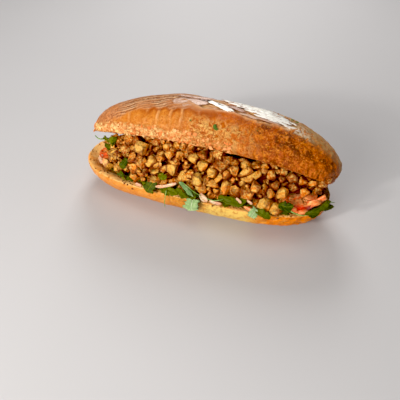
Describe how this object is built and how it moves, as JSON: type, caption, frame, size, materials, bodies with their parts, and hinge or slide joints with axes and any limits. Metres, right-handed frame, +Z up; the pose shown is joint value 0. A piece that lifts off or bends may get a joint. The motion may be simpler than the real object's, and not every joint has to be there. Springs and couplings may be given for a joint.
{
  "type": "chicken sandwich",
  "caption": "Long crusty roll slit along the front and propped open by diced spiced chicken on a bed of parsley, with tomato slices at its ends.",
  "frame": {"origin": "under the middle of the sandwich, on the surface that it rests on", "axes": "+X along the roll, -Y out of the open mouth, +Y towards the uncut hinge of crust, +Z up"},
  "size_m": [0.2344, 0.0964, 0.0955],
  "materials": {
    "crust": "satin",
    "leaf": "satin",
    "chicken": "oily",
    "tomato": "wet"
  },
  "bodies": {
    "root": {"bread_roll": "crust", "greens_bed": "leaf", "chicken_filling": "chicken", "tomato_slice_left": "tomato", "tomato_slice_right": "tomato"}
  },
  "joints": []
}
